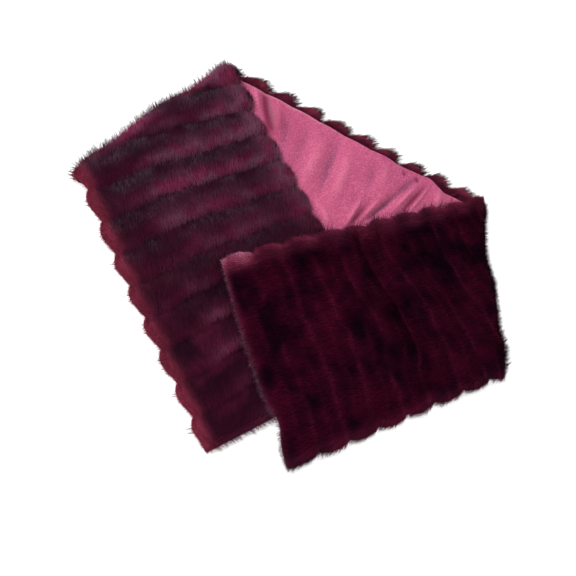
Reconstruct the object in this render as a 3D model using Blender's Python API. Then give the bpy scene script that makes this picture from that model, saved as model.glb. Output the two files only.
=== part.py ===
"""Faux fur stole: one long ribbed fur strip with a satin lining, laid flat in two slanting folds.

The strip has its own two directions. A station is a distance along it, from the end of the left
stretch to the end of the right stretch, and a reach is a distance across it, from its lower edge.
Fur is outside at both folds, so the middle stretch lies fur down with its lining showing.
"""
import math

import bmesh
import bpy
from mathutils import Vector

# Driving sizes of the strip, in metres
WIDTH = 0.320
RIB_COUNT = 30
RIB_PITCH = 0.0534
LENGTH = RIB_COUNT * RIB_PITCH

# Where the two folds cross the strip's lower and upper edges, as stations
LEFT_FOLD_LOWER = 0.4536
LEFT_FOLD_UPPER = 0.5724
RIGHT_FOLD_LOWER = 1.2065
RIGHT_FOLD_UPPER = 1.0834

# Where the strip starts on the table, and the heading of its first stretch
START_CORNER = Vector((-0.16168, -0.32145))
START_HEADING = math.radians(114.85)

# Pile and lining, measured up from the table
PILE_CREST = 0.0150
PILE_VALLEY = 0.0100
PRESSED_PILE = 0.0110
RIM_LEVEL = 0.38
LINING_THICK = 0.0015
GAP = 0.0003
FUR_GAP = 0.0007
LINING_TOP = PRESSED_PILE + GAP + LINING_THICK
LINING_INSET = 0.0125

# Rolled edges: how far the fur curves down over an edge, and back up below it
ROLL_OVER = 0.018
ROLL_UNDER = 0.008
SCALLOP_DEPTH = 0.0065
LOOSE_SCALLOP_DEPTH = 0.0105
RIB_ROUNDNESS = 0.75

# Folds: how far the rounded fold stands out past the fold line, at its ends and midway
FOLD_STEPS = 6
LEFT_FOLD_REACH = 0.014
LEFT_FOLD_SWELL = 0.008
RIGHT_FOLD_REACH_LOWER = 0.0105
RIGHT_FOLD_REACH_UPPER = 0.0035
RIGHT_FOLD_SWELL = 0.0035
FOLD_WAVE_CREST = 0.55
FOLD_WAVE_LENGTH = 0.385

# Where the lower edge is drawn in a little: near its start, and about the right fold
DRAWN_START = 0.006
DRAWN_START_RUN = 0.33
DRAWN_FOLD = 0.007
DRAWN_FOLD_RUN = 0.30

# Draping: how far past a lower layer the cloth takes to come down beside it
DRAPE_START = 0.018
DRAPE_RUN = 0.080

# Fineness of the sections
ROWS_PER_RIB = 6
ROWS_PER_RIB_PLAIN = 4
ROWS_PER_RIB_LINING = 1
EDGE_STEPS = (0.0, 0.003, 0.009, ROLL_OVER)
INNER_COLUMNS = 11
INNER_COLUMNS_PLAIN = 3
LINING_COLUMNS = 4
CROSSING_ROUNDS = 6
SHORTEST_STEP = 0.003
WELD_DISTANCE = 0.00005


class Stretch:
    """One straight run of the strip: its corner on the lower edge, heading and way across."""

    def __init__(self, corner, station, along, across):
        self.corner = corner
        self.station = station
        self.along = along
        self.across = across

    def place(self, station, reach):
        return self.corner + self.along * (station - self.station) + self.across * reach

    def measure(self, point):
        offset = point - self.corner
        return self.station + offset.dot(self.along), offset.dot(self.across)

    def folded(self, lower_station, upper_station):
        """The next stretch, mirrored about the line through a station on each edge."""
        lower = self.place(lower_station, 0.0)
        crease = (self.place(upper_station, WIDTH) - lower).normalized()
        along = 2.0 * self.along.dot(crease) * crease - self.along
        across = 2.0 * self.across.dot(crease) * crease - self.across
        return Stretch(lower, lower_station, along, across)


HEADING = Vector((math.cos(START_HEADING), math.sin(START_HEADING)))
LEFT = Stretch(START_CORNER, 0.0, HEADING, Vector((HEADING.y, -HEADING.x)))
MIDDLE = LEFT.folded(LEFT_FOLD_LOWER, LEFT_FOLD_UPPER)
RIGHT = MIDDLE.folded(RIGHT_FOLD_LOWER, RIGHT_FOLD_UPPER)


def left_fold_station(reach):
    return LEFT_FOLD_LOWER + (LEFT_FOLD_UPPER - LEFT_FOLD_LOWER) * reach / WIDTH


def right_fold_station(reach):
    return RIGHT_FOLD_LOWER + (RIGHT_FOLD_UPPER - RIGHT_FOLD_LOWER) * reach / WIDTH


def ease(value):
    value = min(1.0, max(0.0, value))
    return value * value * (3.0 - 2.0 * value)


def rib_swell(station):
    """0 in the groove between two ribs and 1 on a rib's crest, round over the top."""
    return abs(math.sin(math.pi * station / RIB_PITCH)) ** RIB_ROUNDNESS


def ribbed_pile(station):
    return PILE_VALLEY + (PILE_CREST - PILE_VALLEY) * rib_swell(station)


def pressed_pile(station):
    return PRESSED_PILE


def flat_base(point):
    return 0.0


def over_middle(point):
    """1 over the middle stretch, and easing to 0 beyond its lower edge."""
    reach = MIDDLE.measure(point)[1]
    return 1.0 - ease((-reach - DRAPE_START) / DRAPE_RUN)


def over_left(point):
    """1 over the left stretch, and easing to 0 beyond its upper edge and its end."""
    station, reach = LEFT.measure(point)
    past_edge = max(0.0, reach - WIDTH - DRAPE_START)
    past_end = max(0.0, -station - DRAPE_START)
    return 1.0 - ease(math.hypot(past_edge, past_end) / DRAPE_RUN)


def left_base(point):
    return (LINING_TOP + GAP) * over_middle(point)


def right_base(point):
    on_lining = (LINING_TOP + GAP) * over_middle(point)
    on_fur = (left_base(point) + PILE_CREST + FUR_GAP) * over_left(point)
    return max(on_lining, on_fur)


def roll(distance, width):
    """Height of a rounded edge, from 0 at the edge to 1 where it's full."""
    short = 1.0 - min(1.0, max(0.0, distance / width))
    return math.sqrt(1.0 - short * short)


def lower_edge(station):
    """Reach of the scalloped lower edge."""
    drawn = DRAWN_START * (1.0 - ease(station / DRAWN_START_RUN))
    before = ease((station - RIGHT_FOLD_LOWER + DRAWN_FOLD_RUN) / DRAWN_FOLD_RUN)
    after = 1.0 - ease((station - RIGHT_FOLD_LOWER) / DRAWN_FOLD_RUN)
    drawn += DRAWN_FOLD * before * after
    return drawn - SCALLOP_DEPTH * (rib_swell(station) - 0.5)


def upper_edge(station):
    """Reach of the scalloped upper edge, whose fur stands out further beside the lining."""
    midway = 0.5 * (LEFT_FOLD_UPPER + RIGHT_FOLD_UPPER)
    half = 0.5 * (RIGHT_FOLD_UPPER - LEFT_FOLD_UPPER)
    loose = 1.0 - ease((abs(station - midway) - half + RIB_PITCH) / RIB_PITCH)
    depth = SCALLOP_DEPTH + (LOOSE_SCALLOP_DEPTH - SCALLOP_DEPTH) * loose
    return WIDTH + depth * rib_swell(station) - 0.5 * SCALLOP_DEPTH


def edge_reaches(station, inner_columns):
    """The reaches of one section's columns, with the scalloped edges at the first and last."""
    lower = lower_edge(station)
    upper = upper_edge(station)
    reaches = [lower + step for step in EDGE_STEPS]
    inner_low = lower + ROLL_OVER
    inner_span = upper - ROLL_OVER - inner_low
    for index in range(1, inner_columns + 1):
        reaches.append(inner_low + inner_span * index / (inner_columns + 1))
    reaches.extend(upper - step for step in reversed(EDGE_STEPS))
    return reaches


def edge_distances(inner_columns):
    """How far each column lies from its side of the strip, as far as the rolled edge goes."""
    return [*EDGE_STEPS, *[ROLL_OVER] * inner_columns, *reversed(EDGE_STEPS)]


def crossing(fold_station, reaches_at, column):
    """The station where a column, which follows the scallops, meets a fold line."""
    station = fold_station(WIDTH / 2.0)
    for _ in range(CROSSING_ROUNDS):
        station = fold_station(reaches_at(station)[column])
    return station


def stations(first, last, rows_per_rib, first_end, last_end):
    """Stations in step with the ribs, with close ones where an end of the strip is rolled."""
    step = RIB_PITCH / rows_per_rib
    count_first = math.floor(first / step) + 1
    count_last = math.ceil(last / step) - 1
    inner = [step * index for index in range(count_first, count_last + 1)]
    if first_end:
        inner = [s for s in inner if s > first + EDGE_STEPS[-2] + SHORTEST_STEP]
        inner = [first + e for e in EDGE_STEPS[:-1]] + inner
    if last_end:
        inner = [s for s in inner if s < last - EDGE_STEPS[-2] - SHORTEST_STEP]
        inner = inner + [last - e for e in reversed(EDGE_STEPS[:-1])]
    return inner


def wall_heights(point, station, pile, base, side_distance, end_distance):
    """Underside and top of the fur wall at a point, from its distances to a side and an end."""
    low = base(point)
    thick = pile(station)
    rim = thick * RIM_LEVEL
    over = roll(side_distance, ROLL_OVER) * roll(end_distance, ROLL_OVER)
    under = roll(side_distance, ROLL_UNDER) * roll(end_distance, ROLL_UNDER)
    top = low + rim + (thick - rim) * over
    bottom = low + rim * (1.0 - under)
    return bottom, top


def solid_from_sections(name, sections, collection, material):
    """Loft closed sections of (underside, top) point pairs, then weld what meets."""
    bm = bmesh.new()
    rings = []
    for section in sections:
        bottoms = [bm.verts.new(pair[0]) for pair in section]
        tops = [bm.verts.new(pair[1]) for pair in section]
        rings.append((bottoms, tops))
    for (low_a, top_a), (low_b, top_b) in zip(rings, rings[1:]):
        for j in range(len(low_a) - 1):
            bm.faces.new((top_a[j], top_a[j + 1], top_b[j + 1], top_b[j]))
            bm.faces.new((low_a[j + 1], low_a[j], low_b[j], low_b[j + 1]))
        for j in (0, len(low_a) - 1):
            bm.faces.new((top_a[j], top_b[j], low_b[j], low_a[j]))
    for low, top in (rings[0], rings[-1]):
        for j in range(len(low) - 1):
            bm.faces.new((low[j], low[j + 1], top[j + 1], top[j]))
    bmesh.ops.remove_doubles(bm, verts=bm.verts, dist=WELD_DISTANCE)
    bmesh.ops.recalc_face_normals(bm, faces=bm.faces)
    mesh = bpy.data.meshes.new(name)
    bm.to_mesh(mesh)
    bm.free()
    mesh.shade_smooth()
    mesh.materials.append(material)
    collection.objects.link(bpy.data.objects.new(name, mesh))


def top_stretch_sections(stretch, rows, fold_station, fold_reach, base, end_station, out_sign):
    """Sections of a stretch that lies fur up, from its free end to round its fold.

    out_sign is 1 where the fold lies at higher stations than the stretch, and -1 where it's lower.
    """
    lower = stretch.place(fold_station(0.0), 0.0)
    crease = (stretch.place(fold_station(WIDTH), WIDTH) - lower).normalized()
    outward = Vector((crease.y, -crease.x))
    if outward.dot(stretch.along) * out_sign < 0.0:
        outward = -outward
    sides = edge_distances(INNER_COLUMNS)
    limits = [crossing(fold_station, ribbed_reaches, j) for j in range(len(sides))]
    sections = []
    cut = []
    for row in rows + [None]:
        section = []
        for j, (side, limit) in enumerate(zip(sides, limits)):
            at_fold = row is None or (limit - row) * out_sign < SHORTEST_STEP
            station = limit if at_fold else row
            reach = ribbed_reaches(station)[j]
            end = abs(station - end_station)
            point = stretch.place(station, reach)
            bottom, top = wall_heights(point, station, ribbed_pile, base, side, end)
            section.append((Vector((point.x, point.y, bottom)), Vector((point.x, point.y, top))))
            if row is None:
                cut.append((point, bottom, top, side, reach / WIDTH))
        sections.append(section)
    for step in range(1, FOLD_STEPS + 1):
        angle = math.pi * (0.5 - step / FOLD_STEPS)
        section = []
        for point, bottom, top, side, share in cut:
            reach_out = fold_reach(share) * (RIM_LEVEL + (1.0 - RIM_LEVEL) * roll(side, ROLL_OVER))
            out = reach_out * math.cos(angle)
            height = 0.5 * top * (1.0 + math.sin(angle))
            outer = point + outward * out
            drop = bottom * (1.0 - step / FOLD_STEPS)
            low = Vector((point.x, point.y, drop))
            high = Vector((outer.x, outer.y, height))
            if side <= 0.0:
                low = high
            section.append((low, high))
        sections.append(section)
    return sections


def left_fold_reach(share):
    return LEFT_FOLD_REACH + LEFT_FOLD_SWELL * math.sin(math.pi * min(1.0, max(0.0, share)))


def right_fold_reach(share):
    turn = 2.0 * math.pi * (share - FOLD_WAVE_CREST) / FOLD_WAVE_LENGTH
    mean = RIGHT_FOLD_REACH_LOWER + (RIGHT_FOLD_REACH_UPPER - RIGHT_FOLD_REACH_LOWER) * share
    return mean + RIGHT_FOLD_SWELL * math.cos(turn)


def middle_sections(rows, reaches_at, sides, heights_at):
    """Sections of a layer that ends just inside both fold lines."""
    slant_left = GAP * math.hypot(1.0, (LEFT_FOLD_UPPER - LEFT_FOLD_LOWER) / WIDTH)
    slant_right = GAP * math.hypot(1.0, (RIGHT_FOLD_UPPER - RIGHT_FOLD_LOWER) / WIDTH)
    columns = range(len(sides))
    starts = [crossing(left_fold_station, reaches_at, j) + slant_left for j in columns]
    finishes = [crossing(right_fold_station, reaches_at, j) - slant_right for j in columns]
    sections = []
    for row in [min(starts)] + rows + [max(finishes)]:
        section = []
        for j, side in enumerate(sides):
            station = row
            if station < starts[j] + SHORTEST_STEP:
                station = starts[j]
            if station > finishes[j] - SHORTEST_STEP:
                station = finishes[j]
            point = MIDDLE.place(station, reaches_at(station)[j])
            bottom, top = heights_at(point, station, side)
            section.append((Vector((point.x, point.y, bottom)), Vector((point.x, point.y, top))))
        sections.append(section)
    return sections


def ribbed_reaches(station):
    return edge_reaches(station, INNER_COLUMNS)


def pressed_reaches(station):
    return edge_reaches(station, INNER_COLUMNS_PLAIN)


def lining_reaches(station):
    span = WIDTH - 2.0 * LINING_INSET
    return [LINING_INSET + span * index / LINING_COLUMNS for index in range(LINING_COLUMNS + 1)]


def pressed_heights(point, station, side):
    bottom, top = wall_heights(point, station, pressed_pile, flat_base, side, WIDTH)
    if side > EDGE_STEPS[1]:
        bottom = 0.0
    return bottom, top


def lining_heights(point, station, side):
    return LINING_TOP - LINING_THICK, LINING_TOP


def plain_material(name, color, roughness):
    material = bpy.data.materials.new(name)
    material.use_nodes = True
    shader = material.node_tree.nodes["Principled BSDF"]
    shader.inputs["Base Color"].default_value = (*color, 1.0)
    shader.inputs["Roughness"].default_value = roughness
    shader.inputs["Metallic"].default_value = 0.0
    material.diffuse_color = (*color, 1.0)
    return material


def build():
    for item in list(bpy.data.objects):
        bpy.data.objects.remove(item, do_unlink=True)
    stole = bpy.data.collections.new("faux_fur_stole")
    bpy.context.scene.collection.children.link(stole)
    fur_lit = plain_material("burgundy_fur_left", (0.085, 0.012, 0.028), 0.85)
    fur_under = plain_material("burgundy_fur_middle", (0.060, 0.008, 0.020), 0.85)
    fur_deep = plain_material("burgundy_fur_right", (0.070, 0.004, 0.014), 0.85)
    satin = plain_material("rose_lining", (0.50, 0.09, 0.19), 0.45)

    left_rows = stations(0.0, LEFT_FOLD_UPPER, ROWS_PER_RIB, True, False)
    sections = top_stretch_sections(
        LEFT, left_rows, left_fold_station, left_fold_reach, left_base, 0.0, 1)
    solid_from_sections("fur_left", sections, stole, fur_lit)

    middle_rows = stations(LEFT_FOLD_LOWER, RIGHT_FOLD_LOWER, ROWS_PER_RIB_PLAIN, False, False)
    sides = edge_distances(INNER_COLUMNS_PLAIN)
    sections = middle_sections(middle_rows, pressed_reaches, sides, pressed_heights)
    solid_from_sections("fur_middle", sections, stole, fur_under)

    lining_rows = stations(LEFT_FOLD_LOWER, RIGHT_FOLD_LOWER, ROWS_PER_RIB_LINING, False, False)
    sides = [LINING_INSET] * (LINING_COLUMNS + 1)
    sections = middle_sections(lining_rows, lining_reaches, sides, lining_heights)
    solid_from_sections("lining_middle", sections, stole, satin)

    right_rows = stations(RIGHT_FOLD_UPPER, LENGTH, ROWS_PER_RIB, False, True)
    sections = top_stretch_sections(
        RIGHT, list(reversed(right_rows)), right_fold_station, right_fold_reach, right_base,
        LENGTH, -1)
    solid_from_sections("fur_right", sections, stole, fur_deep)


build()
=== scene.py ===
import math

import bmesh
import bpy
from mathutils import Matrix, Vector


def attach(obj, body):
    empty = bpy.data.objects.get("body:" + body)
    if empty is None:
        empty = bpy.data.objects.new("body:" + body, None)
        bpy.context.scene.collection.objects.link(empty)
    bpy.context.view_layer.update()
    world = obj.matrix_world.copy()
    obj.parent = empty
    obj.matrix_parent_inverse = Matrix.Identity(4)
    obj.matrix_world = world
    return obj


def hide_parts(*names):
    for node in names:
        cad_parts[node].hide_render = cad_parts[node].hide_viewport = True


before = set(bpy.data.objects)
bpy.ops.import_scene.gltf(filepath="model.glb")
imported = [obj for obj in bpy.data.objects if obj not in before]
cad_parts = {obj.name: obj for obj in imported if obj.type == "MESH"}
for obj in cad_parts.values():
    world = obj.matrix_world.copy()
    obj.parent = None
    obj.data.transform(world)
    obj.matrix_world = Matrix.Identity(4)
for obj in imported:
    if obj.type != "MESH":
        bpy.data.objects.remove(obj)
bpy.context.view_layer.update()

# The strip, in metres, with its solids' sizes but for the lining's inset. A station is a distance
# along it from the left stretch's free end, and a reach is a distance across it from its lower edge
WIDTH = 0.320
RIB_PITCH = 0.0534
LENGTH = 30 * RIB_PITCH
LEFT_FOLD_LOWER = 0.4536
LEFT_FOLD_UPPER = 0.5724
RIGHT_FOLD_LOWER = 1.2065
RIGHT_FOLD_UPPER = 1.0834
START_CORNER = Vector((-0.16168, -0.32145))
START_HEADING = math.radians(114.85)
PILE_CREST = 0.0150
PILE_VALLEY = 0.0100
PRESSED_PILE = 0.0110
RIM_LEVEL = 0.38
LINING_THICK = 0.0015
GAP = 0.0003
FUR_GAP = 0.0007
LINING_TOP = PRESSED_PILE + GAP + LINING_THICK
LINING_INSET = 0.0165
ROLL_OVER = 0.018
ROLL_UNDER = 0.008
SCALLOP_DEPTH = 0.0065
LOOSE_SCALLOP_DEPTH = 0.0105
LOOSE_SCALLOP_LEAN = 0.0026
RIB_ROUNDNESS = 0.75
DRAWN_START = 0.006
DRAWN_START_RUN = 0.33
DRAWN_FOLD = 0.007
DRAWN_FOLD_RUN = 0.30
DRAPE_START = 0.018
DRAPE_RUN = 0.080
PUCKER_STATION = 0.930

# How far inside another stretch's outline the pile is left out, as nothing shows there
HIDDEN_MARGIN = 0.025
HIDDEN_LENGTH = 0.300

# The undercoat lies inside the solids, so that the pile's tips reach their surface, and its mesh is
# finer towards its edges
UNDERCOAT_DROP = 0.0035
UNDERCOAT_INSET = 0.0030
LEAST_FOLD_REACH = 0.0015
FOLD_STEPS = 10
EDGE_STEPS = (0.0, 0.0012, 0.003, 0.006, 0.0105, 0.0175)
SHORTEST_STEP = 0.0015
WELD_DISTANCE = 0.00004
CROSSING_ROUNDS = 6
TOP_ROWS_PER_RIB = 12
MIDDLE_ROWS_PER_RIB = 10
LINING_ROWS_PER_RIB = 14
TOP_COLUMNS = 44
MIDDLE_COLUMNS = 12
LINING_COARSE_COLUMNS = 7
LINING_FINE_COLUMNS = 74
LINING_FINE_FROM = 0.085

# How the hairs clump and sweep, and their lengths as shares of their run's own
CLUMP_SCALE = 160.0
CLUMP_SHARE = 0.45
SWEEP_SCALE = 28.0
SWEEP_SHARE = 0.55
SHORTEST_HAIR = 0.50
LONGEST_HAIR = 1.20
LEAST_HEIGHT = 0.0003
TURNED_UP = 0.10
FRINGE_WIDTH = 0.012
CORNER_FRINGE = 0.012
TOP_CORNER_FRINGE = 0.016
NAP_SPLAY_WIDTH = 0.020
LEAST_ONWARD = 0.35
PILE_ENDS_UNDER_FOLD = -0.80
PRESSED_RIM = 0.004

# Floor and room
FLOOR_SIZE = 4.0
FLOOR_GREY = (0.75, 0.75, 0.75)
FLOOR_GLOW = 0.62
ROOM_GLOW = 0.60

# Camera: the photograph's angle to the table, and its turn about the line of sight
CAMERA_TILT = math.radians(23.631)
CAMERA_TURN = math.radians(40.267)
CAMERA_PLACE = Vector((-0.25210, -0.33536, 0.79708))
CAMERA_LENS = 33.71
CAMERA_SENSOR = 36.0
CAMERA_NEAREST = 0.02


class Stretch:
    """One straight run of the strip: its corner on the lower edge, heading and way across."""

    def __init__(self, corner, station, along, across):
        self.corner = corner
        self.station = station
        self.along = along
        self.across = across

    def place(self, station, reach):
        return self.corner + self.along * (station - self.station) + self.across * reach

    def measure(self, point):
        offset = point - self.corner
        return self.station + offset.dot(self.along), offset.dot(self.across)

    def folded(self, lower_station, upper_station):
        """The next stretch, mirrored about the line through a station on each edge."""
        lower = self.place(lower_station, 0.0)
        crease = (self.place(upper_station, WIDTH) - lower).normalized()
        along = 2.0 * self.along.dot(crease) * crease - self.along
        across = 2.0 * self.across.dot(crease) * crease - self.across
        return Stretch(lower, lower_station, along, across)


HEADING = Vector((math.cos(START_HEADING), math.sin(START_HEADING)))
LEFT = Stretch(START_CORNER, 0.0, HEADING, Vector((HEADING.y, -HEADING.x)))
MIDDLE = LEFT.folded(LEFT_FOLD_LOWER, LEFT_FOLD_UPPER)
RIGHT = MIDDLE.folded(RIGHT_FOLD_LOWER, RIGHT_FOLD_UPPER)


def left_fold_station(reach):
    return LEFT_FOLD_LOWER + (LEFT_FOLD_UPPER - LEFT_FOLD_LOWER) * reach / WIDTH


def right_fold_station(reach):
    return RIGHT_FOLD_LOWER + (RIGHT_FOLD_UPPER - RIGHT_FOLD_LOWER) * reach / WIDTH


def ease(value):
    value = min(1.0, max(0.0, value))
    return value * value * (3.0 - 2.0 * value)


def rise(value, start, run):
    """0 up to the start, easing to 1 over the run from there."""
    return ease((value - start) / run)


def fall(value, start, run):
    """1 up to the start, easing to 0 over the run from there."""
    return 1.0 - ease((value - start) / run)


def bump(value, centre, half_width):
    """1 at the centre, easing to 0 at half_width from it."""
    return 1.0 - ease(abs(value - centre) / half_width)


def sum_of_bumps(bumps, value):
    return sum(amount * bump(value, centre, half) for centre, half, amount in bumps)


def right_fold_dip(reach):
    """How far the right fold is drawn in from its straight line."""
    return 0.0105 * bump(reach, 0.220, 0.085)


def right_fold_top(reach):
    return right_fold_station(reach) + right_fold_dip(reach)


def right_fold_under(reach):
    return right_fold_station(reach) - right_fold_dip(reach)


def rib_swell(station):
    return abs(math.sin(math.pi * station / RIB_PITCH)) ** RIB_ROUNDNESS


def over_middle(point):
    reach = MIDDLE.measure(point)[1]
    return fall(-reach, DRAPE_START, DRAPE_RUN)


def over_left(point):
    station, reach = LEFT.measure(point)
    past_edge = max(0.0, reach - WIDTH - DRAPE_START)
    past_end = max(0.0, -station - DRAPE_START)
    return 1.0 - ease(math.hypot(past_edge, past_end) / DRAPE_RUN)


def left_base(point):
    return (LINING_TOP + GAP) * over_middle(point)


def right_base(point):
    on_lining = (LINING_TOP + GAP) * over_middle(point)
    on_fur = (left_base(point) + PILE_CREST + FUR_GAP) * over_left(point)
    return max(on_lining, on_fur)


def flat_base(point):
    return 0.0


def unevenness(station, reach):
    """Slow waves, about 1 either way, that keep the cloth from lying dead straight."""
    wave = math.sin(23.0 * station + 17.0 * reach + 0.6) + math.sin(41.0 * station - 29.0 * reach)
    return 0.5 * wave


def left_bend(station, reach):
    """How far the left stretch's rib lines run back as they near its lower edge."""
    return -0.009 * fall(reach, 0.03, 0.08)


def right_bend(station, reach):
    """How far the right stretch's rib lines lean, most near its fold and over its upper half."""
    lean = 0.037 - 0.115 * max(0.0, station - 1.26)
    start = 0.040 + 0.090 * rise(station, 1.22, 0.07)
    upper = rise(reach, start, 0.270 - start) * (1.0 - 0.8 * rise(reach, 0.295, 0.030))
    lower = 0.011 * bump(station, 1.360, 0.070) * bump(reach, 0.050, 0.070)
    back = 0.006 * rise(station, 1.50, 0.04) * fall(reach, 0.16, 0.06)
    wave = 0.0020 * math.sin(43.0 * reach + 21.0 * station) + 0.0013 * math.sin(83.0 * reach - 31.0 * station)
    return lean * upper + lower - back + wave


def left_pile(station, reach):
    swell = PILE_VALLEY + (PILE_CREST - PILE_VALLEY) * rib_swell(station - left_bend(station, reach))
    return swell - UNDERCOAT_DROP + 0.0006 * unevenness(station, reach)


def right_pile(station, reach):
    flat = PILE_CREST - 0.0005
    depth = 0.0030 + 0.0014 * math.sin(31.0 * station + 14.0 * reach) + 0.0008 * unevenness(reach, station)
    swell = flat - depth * (1.0 - rib_swell(station - right_bend(station, reach)))
    return swell - UNDERCOAT_DROP + 0.0008 * unevenness(station, reach)


def pressed_pile(station, reach):
    under_lining = fall(reach - lining_edge(station), -0.006, 0.005)
    return PRESSED_PILE - 0.0005 - 0.0055 * under_lining


def leaning_swell(station, lean):
    """A rib's swell with its crest moved on (lean above 1) or back (below 1), seams in place."""
    share = (station / RIB_PITCH) % 1.0
    return rib_swell(RIB_PITCH * share ** lean)


def lower_edge(station):
    drawn = DRAWN_START * fall(station, 0.0, DRAWN_START_RUN)
    before = rise(station - RIGHT_FOLD_LOWER, -DRAWN_FOLD_RUN, DRAWN_FOLD_RUN)
    after = fall(station, RIGHT_FOLD_LOWER, DRAWN_FOLD_RUN)
    drawn += DRAWN_FOLD * before * after
    corner = 0.003 * bump(station, LENGTH, 0.030) + 0.0035 * bump(station, 0.0, 0.022)
    on_left = station < LEFT_FOLD_LOWER
    lean = 1.50 if on_left else 1.0
    depth = SCALLOP_DEPTH * (1.25 if on_left else 1.00)
    out = 0.0016 * rise(station, RIGHT_FOLD_LOWER, 0.06) + 0.0014 * rise(station, 1.42, 0.08)
    out += 0.0013 * fall(station, 0.42, 0.08)
    return drawn - corner - out - depth * (leaning_swell(station, lean) - 0.5)


# Where the upper edge is drawn in, or out below 0: station, half length and distance
UPPER_PUCKERS = (
    (PUCKER_STATION, 0.060, 0.0045),
    (0.604, 0.022, -0.0040),
    (0.466, 0.032, 0.0085),
    (0.280, 0.130, -0.0048),
    (1.270, 0.150, -0.0034),
)


def upper_edge(station):
    midway = 0.5 * (LEFT_FOLD_UPPER + RIGHT_FOLD_UPPER)
    half = 0.5 * (RIGHT_FOLD_UPPER - LEFT_FOLD_UPPER)
    loose = fall(abs(station - midway) - half, -RIB_PITCH, RIB_PITCH)
    depth = SCALLOP_DEPTH + (LOOSE_SCALLOP_DEPTH - SCALLOP_DEPTH) * loose
    swell = leaning_swell(station - LOOSE_SCALLOP_LEAN * loose, 1.0 + 0.35 * loose)
    pucker = sum_of_bumps(UPPER_PUCKERS, station)
    notch = (0.0045 * loose + 0.0030 * fall(station, LEFT_FOLD_UPPER, 0.01)) * (1.0 - swell)
    pucker += loose * (0.0020 - 0.0038 * fall(station, 0.63, 0.24))
    return WIDTH + depth * swell - 0.5 * SCALLOP_DEPTH - UNDERCOAT_INSET - pucker - notch


def roll(distance, width):
    short = 1.0 - min(1.0, max(0.0, distance / width))
    return math.sqrt(1.0 - short * short)


def edge_reaches(station, inner_columns):
    lower = lower_edge(station)
    upper = upper_edge(station)
    reaches = [lower + step for step in EDGE_STEPS]
    inner_low = lower + EDGE_STEPS[-1]
    inner_span = upper - EDGE_STEPS[-1] - inner_low
    for index in range(1, inner_columns + 1):
        reaches.append(inner_low + inner_span * index / (inner_columns + 1))
    reaches.extend(upper - step for step in reversed(EDGE_STEPS))
    return reaches


def edge_distances(inner_columns):
    return [*EDGE_STEPS, *[ROLL_OVER] * inner_columns, *reversed(EDGE_STEPS)]


def crossing(fold_station, reaches_at, column):
    station = fold_station(WIDTH / 2.0)
    for _ in range(CROSSING_ROUNDS):
        station = fold_station(reaches_at(station)[column])
    return station


def stations(first, last, rows_per_rib, first_end, last_end):
    step = RIB_PITCH / rows_per_rib
    count_first = math.floor(first / step) + 1
    count_last = math.ceil(last / step) - 1
    inner = [step * index for index in range(count_first, count_last + 1)]
    if first_end:
        inner = [s for s in inner if s > first + EDGE_STEPS[-2] + SHORTEST_STEP]
        inner = [first + e for e in EDGE_STEPS[:-1]] + inner
    if last_end:
        inner = [s for s in inner if s < last - EDGE_STEPS[-2] - SHORTEST_STEP]
        inner = inner + [last - e for e in reversed(EDGE_STEPS[:-1])]
    return inner


def wall_heights(point, station, reach, pile, base, side_distance, end_distance):
    low = base(point)
    thick = pile(station, reach)
    rim = thick * RIM_LEVEL
    over = roll(side_distance, ROLL_OVER) * roll(end_distance, ROLL_OVER)
    under = roll(side_distance, ROLL_UNDER) * roll(end_distance, ROLL_UNDER)
    return low + rim * (1.0 - under), low + rim + (thick - rim) * over


def lift(point, height):
    return Vector((point.x, point.y, height))


class Spot:
    """One place on a layer: its two heights, and what the pile and the finish read there."""

    def __init__(self, low, high, station, reach, nap=Vector((0.0, 0.0, 0.0)), cover=0.0,
                 turns=0.0, light=0.0, rim=0.0, haze=0.0, short=0.0):
        self.low = low
        self.high = high
        self.station = station
        self.reach = reach
        self.nap = nap
        self.cover = cover
        self.turns = turns
        self.light = light
        self.rim = rim
        self.haze = haze
        self.short = short


def shell_from_sections(name, sections):
    """Loft closed sections, weld what meets, and keep each place's values as attributes."""
    bm = bmesh.new()
    kept = ("station", "reach", "turns", "light", "rim", "haze", "short")
    layers = [bm.verts.layers.float.new(value) for value in kept]
    cover_layer = bm.verts.layers.float.new("cover")
    nap_layer = bm.verts.layers.float_vector.new("nap")

    def point_at(place, spot, cover):
        vert = bm.verts.new(place)
        for value, layer in zip(kept, layers):
            vert[layer] = getattr(spot, value)
        vert[cover_layer] = cover
        vert[nap_layer] = spot.nap
        return vert

    rings = []
    for section in sections:
        lows = [point_at(spot.low, spot, 0.0) for spot in section]
        highs = [point_at(spot.high, spot, spot.cover) for spot in section]
        rings.append((lows, highs))
    for (low_a, top_a), (low_b, top_b) in zip(rings, rings[1:]):
        for j in range(len(low_a) - 1):
            bm.faces.new((top_a[j], top_a[j + 1], top_b[j + 1], top_b[j]))
            bm.faces.new((low_a[j + 1], low_a[j], low_b[j], low_b[j + 1]))
        for j in (0, len(low_a) - 1):
            bm.faces.new((top_a[j], top_b[j], low_b[j], low_a[j]))
    for low, top in (rings[0], rings[-1]):
        for j in range(len(low) - 1):
            bm.faces.new((low[j], low[j + 1], top[j + 1], top[j]))
    bmesh.ops.remove_doubles(bm, verts=bm.verts, dist=WELD_DISTANCE)
    bmesh.ops.recalc_face_normals(bm, faces=bm.faces)
    mesh = bpy.data.meshes.new(name)
    bm.to_mesh(mesh)
    bm.free()
    mesh.shade_smooth()
    piece = bpy.data.objects.new(name, mesh)
    bpy.context.scene.collection.objects.link(piece)
    return piece


def hidden_by_right(point):
    """True well inside the right stretch's footprint."""
    station, reach = RIGHT.measure(point)
    inside_edge = HIDDEN_MARGIN < reach < WIDTH - HIDDEN_MARGIN
    past_fold_line = station > right_fold_station(reach) - HIDDEN_LENGTH
    return inside_edge and past_fold_line and station < LENGTH - HIDDEN_MARGIN


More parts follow.
